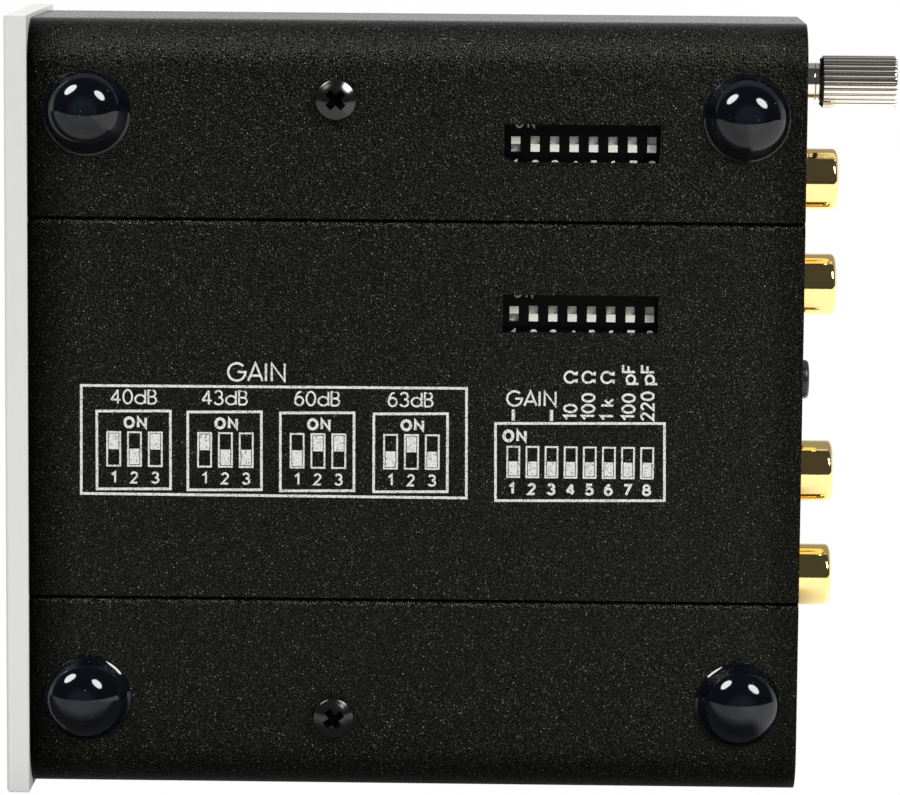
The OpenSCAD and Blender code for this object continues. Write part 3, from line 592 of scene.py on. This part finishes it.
def phillips_cutter(place, axes, turn):
    """Tapered cross that is cut into a screw head, which looks along the third of the axes."""
    reach, width, depth = 3.2, 1.0, 1.5
    above = 0.3
    share_at_mouth, share_at_bottom = 1.1, 0.45
    bm = bmesh.new()
    for angle in (turn, turn + 90):
        spin = Matrix.Rotation(math.radians(angle), 3, "Z")
        rings = []
        for height, share in ((above, share_at_mouth), (-depth, share_at_bottom)):
            half_l, half_w = reach / 2 * share, width / 2 * (1 + share) / 2
            corners = ((-half_l, -half_w), (half_l, -half_w), (half_l, half_w), (-half_l, half_w))
            places = (place + axes @ spin @ Vector((a, b, height)) for a, b in corners)
            rings.append([bm.verts.new(corner) for corner in places])
        low, high = rings
        bm.faces.new(low)
        bm.faces.new(high[::-1])
        for i in range(4):
            bm.faces.new((low[i], high[i], high[(i + 1) % 4], low[(i + 1) % 4]))
    return bm


def cut_from(piece, cutter_mesh):
    """Cuts a mesh out of a piece for good."""
    cutter = bpy.data.objects.new("cutter", cutter_mesh)
    bpy.context.scene.collection.objects.link(cutter)
    modifier = piece.modifiers.new("cut", "BOOLEAN")
    modifier.operation = "DIFFERENCE"
    modifier.solver = "EXACT"
    modifier.use_self = True
    modifier.material_mode = "TRANSFER"
    modifier.object = cutter
    evaluated = piece.evaluated_get(bpy.context.evaluated_depsgraph_get())
    result = bpy.data.meshes.new_from_object(evaluated)
    piece.modifiers.remove(modifier)
    bpy.data.objects.remove(cutter)
    result.name = piece.data.name
    result.set_sharp_from_angle(angle=math.radians(35))
    piece.data = result


def make_cover_screws(material, recess_material):
    """Domed heads with a cross recess. The left-hand screw went in at a slight slant."""
    low, high = (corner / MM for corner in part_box("cover_screws"))
    head_r = (high.y - low.y) / 2
    head_h = UNDERSIDE_Z - low.z
    shank_r, shank_l = 1.45, high.z - UNDERSIDE_Z
    dome_r = 4.1
    edge_r, edge_end = 0.30, 62
    flat_r = head_r - edge_r
    sag = dome_r - math.sqrt(dome_r ** 2 - flat_r ** 2)
    dome_start = math.degrees(math.acos(flat_r / dome_r))
    profile = [(0, -shank_l), (shank_r, -shank_l), (shank_r, 0), (head_r, 0)]
    profile += arc((flat_r, head_h - sag - edge_r), edge_r, 0, edge_end, 6)
    profile += arc((0, head_h - dome_r), dome_r, dome_start, 90, 12)[1:-1] + [(0, head_h)]
    y = (low.y + high.y) / 2
    slant_axis = Vector((1, 1, 0))
    # Each screw's side, its place along X, its slant and the turn of its recess in degrees
    screws = (("right", high.x - head_r, 0, 45), ("left", low.x + head_r, 4.5, 33))
    for side, x, slant, turn in screws:
        seat = Vector((x, y, UNDERSIDE_Z))
        tilt = Matrix.Rotation(math.radians(slant), 3, slant_axis)
        axes = tilt @ Matrix.Rotation(math.pi, 3, "X")
        outward = axes.col[2]
        name = f"cover_screw_{side}"
        mesh = finish_mesh(lathe(profile, seat, outward), name)
        piece = add_piece(name, mesh, material, stands_for=["cover_screws"])
        cutter = finish_mesh(phillips_cutter(seat + outward * head_h, axes, turn), "recess")
        # The recess's walls take the finish with painted shade
        cutter.materials.append(recess_material)
        cut_from(piece, cutter)


def make_socket(name, gold, insulator_material):
    """Phono socket: shell with a rolled lip, and the ring of plastic in it."""
    low, high = (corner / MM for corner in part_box(f"{name}_shell"))
    x, z = (low.x + high.x) / 2, (low.z + high.z) / 2
    length = high.y - REAR_FACE_Y
    root = REAR_FACE_Y - low.y
    outer, bore, collar, collar_end = 4.15, 3.4, 4.4, -0.02
    lip, inner_lip = 0.72, 0.12
    profile = [(bore, -root), (collar, -root), (collar, collar_end), (outer, 0)]
    profile += arc((outer - lip, length - lip), lip, 0, 90, 10)
    profile += arc((bore + inner_lip, length - inner_lip), inner_lip, 90, 180, 4)
    bm = lathe(profile, (x, REAR_FACE_Y, z), (0, 1, 0), turns=128, closed=True)
    mesh = finish_mesh(bm, f"{name}_shell")
    add_piece(f"{name}_barrel", mesh, gold, stands_for=[f"{name}_shell"])
    softened_node(f"{name}_insulator", insulator_material, 0.12)


def make_thumb_nut(material):
    """Straight-knurled nut with a chamfer at its foot and a round outer edge."""
    low, high = (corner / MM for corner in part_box("ground_thumb_nut"))
    radius = (high.z - low.z) / 2
    length = high.y - low.y
    ridges, per_ridge = 28, 12
    groove_depth, flat_share = 0.35, 0.62
    chamfer, rounding, face_share = 0.5, 0.45, 0.55
    bore, end_thickness = 2.05, 1.0
    # Radius and distance of each ring, from the bottom of the bore to the outer face
    stations = [(bore, length - end_thickness), (bore, 0.0)]
    stations += [(radius - chamfer + chamfer * i / 4, chamfer * i / 4) for i in range(5)]
    stations += [(radius, length * share) for share in (0.25, 0.5, 0.75)]
    stations += arc((radius - rounding, length - rounding), rounding, 0, 90, 7)
    stations.append((radius * face_share, length))
    bm = bmesh.new()
    centre = Vector(((low.x + high.x) / 2, low.y, (low.z + high.z) / 2))
    count = ridges * per_ridge

    def ring(limit, distance):
        verts = []
        for i in range(count):
            angle = 2 * math.pi * i / count
            groove = abs((i / per_ridge) % 1 - 0.5) * 2
            cut_in = groove_depth * max(0.0, (groove - flat_share) / (1 - flat_share))
            r = min(limit, radius - cut_in)
            spoke = Vector((r * math.cos(angle), distance, r * math.sin(angle)))
            verts.append(bm.verts.new(centre + spoke))
        return verts

    rings = [ring(limit, distance) for limit, distance in stations]
    for first, second in zip(rings, rings[1:]):
        for i in range(count):
            j = (i + 1) % count
            bm.faces.new((first[i], second[i], second[j], first[j]))
    bm.faces.new(rings[0])
    bm.faces.new(rings[-1][::-1])
    mesh = finish_mesh(bm, "ground_thumb_nut", smooth_angle=38)
    body = body_of("ground_thumb_nut")
    add_piece("thumb_nut_knurled", mesh, material, body, ["ground_thumb_nut"])


def make_button(material):
    """Round push button with a shallow dish in its face."""
    low, high = (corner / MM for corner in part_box("filter_button"))
    x, z = (low.x + high.x) / 2, (low.z + high.z) / 2
    radius = (high.x - low.x) / 2
    cap_inside = 4.5
    edge, plunger_r = 0.5, 1.5
    dish_share, dish_edge, dish_depth = 0.6, 0.05, 0.12
    cap_back = REAR_FACE_Y - cap_inside
    plunger_end = low.y - cap_back
    length = high.y - cap_back
    profile = [(0, plunger_end), (plunger_r, plunger_end), (plunger_r, 0), (radius, 0)]
    profile += arc((radius - edge, length - edge), edge, 0, 90, 8)
    profile += [(radius * dish_share, length - dish_edge), (0, length - dish_depth)]
    mesh = finish_mesh(lathe(profile, (x, cap_back, z), (0, 1, 0)), "filter_button")
    body = body_of("filter_button")
    add_piece("push_button", mesh, material, body, ["filter_button"])


# Lettering

def ellipse(cx, cy, rx, ry, start=0, end=360, steps=20):
    """Points of an ellipse's arc, its angles in degrees."""
    return [(cx + rx * a, cy + ry * b) for a, b in arc((0, 0), 1, start, end, steps)]


# Each glyph is a width and a list of strokes, for capitals one unit high
GLYPHS = {
    "G": (0.85, [ellipse(0.44, 0.5, 0.44, 0.5, 42, 360) + [(0.48, 0.5)]]),
    "A": (0.73, [[(0, 0), (0.365, 1), (0.73, 0)], [(0.11, 0.30), (0.62, 0.30)]]),
    "I": (0.08, [[(0, 0), (0, 1)]]),
    "N": (0.70, [[(0.05, 0), (0.05, 1), (0.70, 0), (0.70, 1)]]),
    "O": (0.76, [ellipse(0.38, 0.5, 0.38, 0.5, 90, 450)]),
    "B": (0.50, [
        [(0, 0), (0, 1), (0.26, 1)] + ellipse(0.24, 0.76, 0.22, 0.24, 90, -90, 10) + [(0, 0.52)],
        [(0.22, 0.52)] + ellipse(0.24, 0.26, 0.26, 0.26, 90, -90, 10) + [(0, 0)],
    ]),
    "F": (0.46, [[(0, 0), (0, 1), (0.46, 1)], [(0, 0.54), (0.38, 0.54)]]),
    "d": (0.64, [ellipse(0.32, 0.32, 0.32, 0.32, 0, 360), [(0.64, 0), (0.64, 1)]]),
    "p": (0.56, [ellipse(0.28, 0.34, 0.28, 0.34, 180, 540), [(0, 0.70), (0, -0.28)]]),
    "k": (0.48, [[(0, 0), (0, 1)], [(0.42, 0.68), (0.02, 0.28)], [(0.16, 0.42), (0.48, 0)]]),
    "Ω": (0.74, [
        [(0, 0), (0.16, 0)] + ellipse(0.37, 0.56, 0.36, 0.44, 234, -54) + [(0.58, 0), (0.74, 0)],
    ]),
    "0": (0.56, [ellipse(0.28, 0.5, 0.28, 0.5, 90, 450)]),
    "1": (0.26, [[(0, 0.76), (0.26, 1), (0.26, 0)]]),
    "2": (0.49, [ellipse(0.25, 0.74, 0.23, 0.26, 170, -35, 12) + [(0, 0), (0.50, 0)]]),
    "3": (0.54, [
        ellipse(0.26, 0.75, 0.23, 0.25, 160, -90, 12),
        ellipse(0.26, 0.26, 0.27, 0.26, 90, -160, 14),
    ]),
    "4": (0.58, [[(0.42, 0), (0.42, 1)], [(0.42, 1), (0, 0.28)], [(0, 0.28), (0.60, 0.28)]]),
    "5": (0.54, [
        [(0.50, 1), (0.12, 1), (0.06, 0.52)] + ellipse(0.26, 0.32, 0.28, 0.32, 130, -155, 14),
    ]),
    "6": (0.54, [
        ellipse(0.27, 0.31, 0.26, 0.31, 90, 450),
        [(0.01, 0.34), (0.06, 0.66), (0.20, 0.92), (0.40, 1)],
    ]),
    "7": (0.50, [[(0, 1), (0.52, 1), (0.16, 0)]]),
    "8": (0.54, [
        ellipse(0.27, 0.76, 0.22, 0.24, -90, 270),
        ellipse(0.27, 0.27, 0.27, 0.27, 90, 450),
    ]),
    " ": (0.26, []),
}

# How far the ink's face lies out of what it is printed on, and how far its sides reach into it
INK_LIFT = 0.03
INK_ROOT = 0.01
# Strokes may cross, so they take turns at a few levels
INK_LEVELS = 5
INK_LEVEL_STEP = 0.002
# A sharp corner of a stroke reaches at most half the stroke's width divided by this
MITRE_LEAST = 0.45


class Ink:
    """Flat white print that faces -Z. Its page has u along +Y and v along +X."""

    def __init__(self, name, z):
        self.name = name
        self.z = z
        self.bm = bmesh.new()
        self.level = 0

    def next_level(self):
        self.level = (self.level + 1) % INK_LEVELS
        return self.z - INK_LIFT + INK_LEVEL_STEP * self.level

    def point(self, u, v, z):
        return self.bm.verts.new((v, u, z))

    def polygon(self, points):
        """Plate of ink with this outline."""
        z = self.next_level()
        face = [self.point(u, v, z) for u, v in points]
        root = [self.point(u, v, self.z + INK_ROOT) for u, v in points]
        self.bm.faces.new(face)
        for i in range(len(points)):
            j = (i + 1) % len(points)
            self.bm.faces.new((face[i], face[j], root[j], root[i]))

    def box(self, u0, v0, u1, v1):
        self.polygon([(u0, v0), (u1, v0), (u1, v1), (u0, v1)])

    def frame(self, corners, width):
        """Outline round four corners, drawn inwards."""
        middle_u = sum(u for u, _ in corners) / 4
        middle_v = sum(v for _, v in corners) / 4
        inner = []
        for u, v in corners:
            inner_u = u + math.copysign(width, middle_u - u)
            inner_v = v + math.copysign(width, middle_v - v)
            inner.append((inner_u, inner_v))
        for i in range(4):
            j = (i + 1) % 4
            self.polygon([corners[i], corners[j], inner[j], inner[i]])

    def stroke(self, points, width):
        """Ribbon along a line of points, mitred at its corners."""
        closed = math.dist(points[0], points[-1]) < 1e-6
        if closed:
            points = points[:-1]
        count = len(points)
        left, right = [], []
        for i, (u, v) in enumerate(points):
            before = points[i - 1] if i or closed else None
            after = points[(i + 1) % count] if i < count - 1 or closed else None
            sides = []
            for a, b in ((before, (u, v)), ((u, v), after)):
                if a is not None and b is not None:
                    along = Vector((b[0] - a[0], b[1] - a[1])).normalized()
                    sides.append(Vector((-along.y, along.x)))
            side = sum(sides, Vector((0, 0))).normalized()
            reach = width / 2 / max(MITRE_LEAST, side.dot(sides[0]))
            left.append((u + side.x * reach, v + side.y * reach))
            right.append((u - side.x * reach, v - side.y * reach))
        z = self.next_level()
        for i in range(count if closed else count - 1):
            j = (i + 1) % count
            quad = (left[i], left[j], right[j], right[i])
            self.bm.faces.new([self.point(u, v, z) for u, v in quad])

    def write(self, text, u, v, height, weight, width=1.0, gap=0.14, up=False):
        """Text from (u, v), the left end of its foot line. It runs along u, or along v when it goes up.
        Weight is the stroke's share of the height."""
        pen = 0.0
        line = weight * height
        for letter in text:
            glyph_w, strokes = GLYPHS[letter]
            for points in strokes:
                placed = []
                for a, b in points:
                    along = (pen + a * width) * height
                    rise = line / 2 + b * (height - line)
                    placed.append((u - rise, v + along) if up else (u + along, v + rise))
                self.stroke(placed, line)
            pen += glyph_w * width + gap + weight

    def done(self, material):
        bmesh.ops.remove_doubles(self.bm, verts=self.bm.verts, dist=0.0005)
        add_piece(self.name, finish_mesh(self.bm, self.name), material)


# Legend on the underside, in millimetres: u is the model's Y and v its X

LINE = 0.34
SLOT_LINE = 0.23
BLOCK_GAP = 0.09
# Each drawn gain switch: where it starts, its value and which of its sliders are up
GAIN_SWITCHES = (
    (-46.75, "40dB", (1, 0, 1)),
    (-34.78, "43dB", (1, 0, 0)),
    (-22.60, "60dB", (0, 1, 1)),
    (-10.32, "63dB", (0, 1, 0)),
)
# Each load value: where its foot line is, its number and its unit
LOAD_VALUES = (
    (16.53, "10", "Ω"),
    (18.88, "100", "Ω"),
    (21.36, "1 k", "Ω"),
    (24.16, "100", "pF"),
    (26.64, "220", "pF"),
)
UNIT_V = {"Ω": 4.01, "pF": 3.95}


def draw_slider(ink, u, v, size, block_h, up):
    """One slider of a drawn switch: an outline with a block in its upper or its lower half."""
    width, height = size
    ink.frame([(u, v), (u + width, v), (u + width, v + height), (u, v + height)], SLOT_LINE)
    inset = SLOT_LINE + BLOCK_GAP
    low = v + height - inset - block_h if up else v + inset
    ink.box(u + inset, low, u + width - inset, low + block_h)


def make_gain_legend(material):
    """Four drawn switches, each with the gain that its setting gives, in one outline."""
    outline = ((-48.84, -11.50), (2.22, -11.58), (2.14, 3.30), (-48.80, 3.18))
    switch_corners = ((0, -10.88), (10.03, -10.76), (10.0, -0.08), (-0.02, -0.20))
    slider_u, slider_v, slider_pitch = 1.40, -7.71, 2.74
    slider_size, block_h = (1.94, 4.70), 2.08
    # Numbers stand this far from a slider's left side, and the narrow 1 a little farther
    number_u, one_u, number_v = 0.51, 0.72, -9.95
    ink = Ink("gain_legend", UNDERSIDE_Z)
    ink.frame(outline, LINE)
    ink.write("GAIN", -29.33, 3.70, height=2.60, weight=0.115, gap=0.05)
    for u, value, sliders in GAIN_SWITCHES:
        ink.frame([(u + along, v) for along, v in switch_corners], LINE)
        ink.write(value, u + 2.06, 0.55, height=2.05, weight=0.12, gap=0.08)
        ink.write("ON", u + 3.84, -2.64, height=1.62, weight=0.235, width=0.93, gap=0.10)
        for place, up in enumerate(sliders):
            left = u + slider_u + place * slider_pitch
            draw_slider(ink, left, slider_v, slider_size, block_h, up)
            number_left = left + (number_u if place else one_u)
            ink.write(str(place + 1), number_left, number_v, height=1.64, weight=0.16)
    ink.done(material)


def make_load_legend(material):
    """A drawn switch with all its sliders down, and over it what each of them sets."""
    outline = ((5.73, -11.88), (28.26, -11.66), (28.13, -1.08), (5.63, -1.29))
    tick_us, tick_w, tick_low, tick_high = (7.92, 12.92), 0.42, -1.06, 0.40
    slider_u, slider_v, slider_pitch = 7.28, -8.67, 2.51
    slider_size, block_h = (1.80, 4.26), 1.87
    number_u, number_v = 0.44, -10.93
    value_v, value_h, value_weight = -0.79, 1.88, 0.16
    ink = Ink("load_legend", UNDERSIDE_Z)
    ink.frame(outline, LINE)
    ink.write("GAIN", 7.30, 0.76, height=2.20, weight=0.13, gap=0.045)
    for u in tick_us:
        ink.box(u, tick_low, u + tick_w, tick_high)
    ink.write("ON", 6.93, -3.95, height=1.70, weight=0.235, width=0.90, gap=0.10)
    for place in range(len(SLIDERS)):
        left = slider_u + place * slider_pitch
        draw_slider(ink, left, slider_v, slider_size, block_h, False)
        ink.write(str(place + 1), left + number_u, number_v, height=1.62, weight=0.21)
    for u, value, unit in LOAD_VALUES:
        ink.write(value, u, value_v, value_h, value_weight, width=0.92, gap=0.09, up=True)
        ink.write(unit, u, UNIT_V[unit], value_h, value_weight, width=1.07, gap=0.07, up=True)
    ink.done(material)


def make_switch_print(node, material):
    """ON mark and slider numbers on a DIP switch, which its window partly hides."""
    low, high = (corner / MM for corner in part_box(node))
    x = (low.x + high.x) / 2
    number_u, number_v = -0.32, -3.55
    mark_u, mark_v = 0.03, 2.07
    ink = Ink(f"{node}_print", low.z)
    first = middle(node.replace("dip_switch", "slider_1")).y
    pitch = middle(node.replace("dip_switch", "slider_2")).y - first
    for place in SLIDERS:
        left = first + (place - 1) * pitch + number_u
        ink.write(str(place), left, x + number_v, height=1.5, weight=0.20)
    ink.write("ON", first + mark_u, x + mark_v, height=1.4, weight=0.17, width=0.83, gap=0.3)
    ink.done(material)


# The whole object

def dress(nodes, material):
    """Gives the CAD nodes that stay in view their finish."""
    for node in nodes:
        data = frame["nodes"][node].data
        data.materials.clear()
        data.materials.append(material)


def build():
    paint = powder_coat()
    aluminium = satin_aluminium()
    rubber = foot_rubber()
    screw_black = black_screw()
    gold = plated("socket_gold", (0.98, 0.74, 0.32), 0.07)
    nickel = plated("terminal_nickel", (0.80, 0.76, 0.69), 0.13)
    zinc = plated("zinc_steel", (0.56, 0.57, 0.58), 0.25)
    black = moulded("switch_black", (0.001, 0.001, 0.001), 0.4, specular_ior_level=0.12)
    white = moulded("slider_white", (0.82, 0.82, 0.73), 0.4, 0.95)
    red = moulded("socket_red", (0.55, 0.02, 0.02), 0.35)
    component = moulded("component_black", (0.012, 0.012, 0.014), 0.5)
    ink = screen_ink()

    make_casing(paint)
    softened_node("front_panel", aluminium, 0.15)
    for node in FEET:
        make_foot(node, rubber)
    make_cover_screws(screw_black, blind_recess())
    for name in SOCKETS:
        make_socket(name, gold, red if "right" in name else white)
    make_thumb_nut(nickel)
    make_button(moulded("button_black", (0.01, 0.01, 0.011), 0.3))
    for node in ("ground_post", "ground_washer"):
        softened_node(node, nickel, 0.1)
    for node in ("input_contacts", "output_contacts"):
        softened_node(node, gold, 0.12)
    for switch in ("inner", "outer"):
        softened_node(f"{switch}_dip_switch", black, 0.05)
        make_switch_print(f"{switch}_dip_switch", ink)
        for number in SLIDERS:
            softened_node(f"{switch}_slider_{number}", white, 0.06)
    softened_node("power_inlet", black, 0.2)
    make_gain_legend(ink)
    make_load_legend(ink)

    dress(("panel_screws", "board_standoffs", "board_screws"), zinc)
    dress(("socket_screws",), screw_black)
    dress(("circuit_board",), laminate())
    dress(("input_socket_block", "output_socket_block", "filter_switch"), black)
    dress(("electrolytic_capacitors", "op_amps", "voltage_regulators"), component)
    dress(("film_capacitors",), moulded("component_red", (0.35, 0.03, 0.02), 0.3))
    dress(("power_inlet_pin", "ground_hex_nut"), nickel)
    dress(("power_light",), light_lens())


bpy.context.scene.view_settings.view_transform = "Standard"
add_camera()
add_soft_boxes()
build_world()
add_card()
add_floor()
build()
